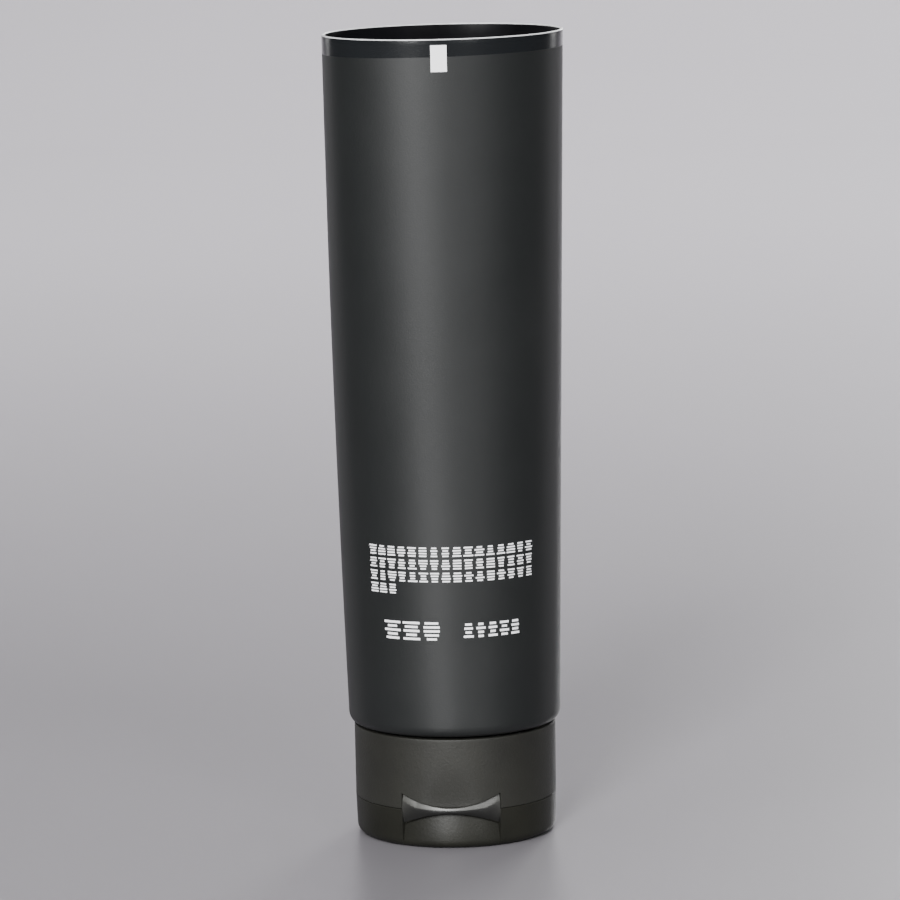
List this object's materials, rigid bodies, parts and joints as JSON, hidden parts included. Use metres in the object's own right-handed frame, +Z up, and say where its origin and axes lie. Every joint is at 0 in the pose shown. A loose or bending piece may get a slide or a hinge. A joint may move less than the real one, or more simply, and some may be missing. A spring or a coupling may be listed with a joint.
{
  "type": "squeeze tube with flip-top cap",
  "caption": "Soft black squeeze tube, round at the shoulder and oval at its open mouth, standing on a screw-on flip-top cap with a thumb notch.",
  "frame": {"origin": "centre of the lid's flat face, on the surface that the tube stands on", "axes": "+Z up along the tube from the closed cap to the open mouth; -Y towards the cap's thumb notch, +Y towards its living hinge"},
  "size_m": [0.0446, 0.04, 0.1513],
  "materials": {
    "sleeve_plastic": "soft-touch matte black sleeve with a bare glossy band at the mouth and white print",
    "head_plastic": "plain moulded black polyethylene",
    "seal_foam": "white foamed polyethylene liner",
    "cap_plastic": "moulded polypropylene, fine matte texture, warm black"
  },
  "bodies": {
    "tube": {"tube_sleeve": "sleeve_plastic", "tube_head": "head_plastic"},
    "liner": {"neck_seal_ring": "seal_foam"},
    "cap": {"cap_base": "cap_plastic", "cap_collar": "cap_plastic", "cap_socket": "cap_plastic", "cap_spout": "cap_plastic", "cap_ribs": "cap_plastic", "hinge_strap_left": "cap_plastic", "hinge_strap_right": "cap_plastic", "hinge_spring": "cap_plastic"},
    "lid": {"lid_shell": "cap_plastic", "lid_plug": "cap_plastic", "lid_seal_ring": "cap_plastic"}
  },
  "joints": [
    {"name": "cap_lift", "type": "slide", "parent": "tube", "child": "liner", "axis": [0, 0, -1], "range_m": [0, 0.0121]},
    {"name": "cap_turn", "type": "hinge", "parent": "liner", "child": "cap", "pos_m": [0, 0, 0], "axis": [0, 0, -1], "range_deg": [0, 1440]},
    {"name": "lid_hinge", "type": "hinge", "parent": "cap", "child": "lid", "pos_m": [0, 0.0172, 0.0073], "axis": [1, 0, 0], "range_deg": [0, 150], "deforming": ["hinge_strap_left", "hinge_strap_right", "hinge_spring"]}
  ],
  "couplings": [
    {"joint": "cap_lift", "follows": "cap_turn", "m_per_rad": 0.00047746}
  ]
}
